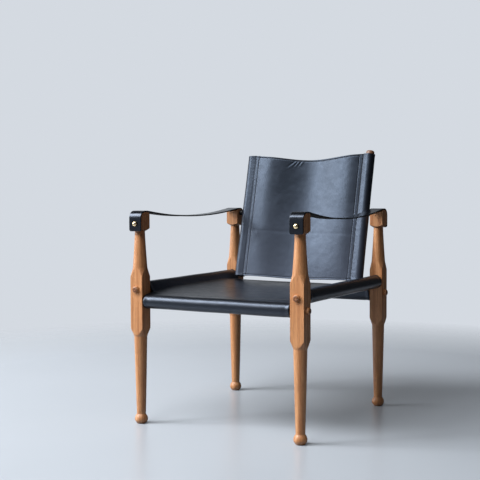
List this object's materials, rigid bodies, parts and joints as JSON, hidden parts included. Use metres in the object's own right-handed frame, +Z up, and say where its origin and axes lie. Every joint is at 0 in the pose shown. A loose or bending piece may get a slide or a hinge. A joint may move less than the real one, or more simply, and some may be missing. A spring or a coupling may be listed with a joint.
{
  "type": "campaign chair",
  "caption": "Knock-down armchair with turned wooden legs, plug-in round rails, a stretched leather seat, leather arm straps and a pivoting leather back.",
  "frame": {"origin": "on the floor, in the middle of the chair's whole length and width", "axes": "+Z up, +Y towards the back of the chair, +X to the right as seen from the front"},
  "size_m": [0.561, 0.629, 0.7828],
  "materials": {
    "wood": "oiled, fine straight grain",
    "seat_leather": "smooth black, semi-gloss",
    "back_leather": "smooth black, semi-gloss",
    "strap_leather": "smooth black, semi-gloss",
    "brass": "polished"
  },
  "bodies": {
    "root": {"leg_front_left": "wood", "leg_front_right": "wood", "leg_back_left": "wood", "leg_back_right": "wood", "front_rail": "wood", "back_rail": "wood", "side_rail_left": "wood", "side_rail_right": "wood", "seat_leather": "seat_leather", "pivot_pin_left": "brass", "pivot_pin_right": "brass", "pivot_spacer_left": "strap_leather", "pivot_spacer_right": "strap_leather", "arm_strap_left": "strap_leather", "arm_strap_right": "strap_leather", "strap_stud_front_left": "brass", "strap_stud_front_right": "brass", "strap_stud_back_left": "brass", "strap_stud_back_right": "brass"},
    "backrest": {"back_upright_left": "wood", "back_upright_right": "wood", "back_leather": "back_leather"}
  },
  "joints": [
    {"name": "back_tilt", "type": "hinge", "parent": "root", "child": "backrest", "pos_m": [0, 0.25364, 0.588], "axis": [-1, 0, 0], "range_deg": [-12, 15]}
  ]
}
